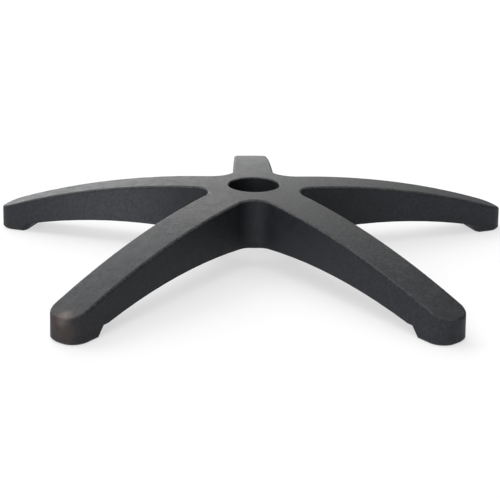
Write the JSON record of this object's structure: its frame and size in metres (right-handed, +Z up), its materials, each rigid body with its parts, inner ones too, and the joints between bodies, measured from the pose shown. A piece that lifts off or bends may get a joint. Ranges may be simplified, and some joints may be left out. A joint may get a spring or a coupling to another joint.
{
  "type": "office chair five star base",
  "caption": "Crowned five star swivel chair base in black plastic with an open column socket in the hub, rounded feet with caster sockets and a ribbed hollow underside.",
  "frame": {"origin": "on the axis of the column socket, where its straight wall begins under the chamfered mouth at the top of the hub", "axes": "+Z up along the socket axis; +Y along one leg, the one that points away from the viewer in the picture; +X to the viewer's right"},
  "size_m": [0.5336, 0.5091, 0.0698],
  "materials": {
    "black_nylon": "fine matte mould texture"
  },
  "bodies": {
    "root": {"star_base": "black_nylon"}
  },
  "joints": []
}
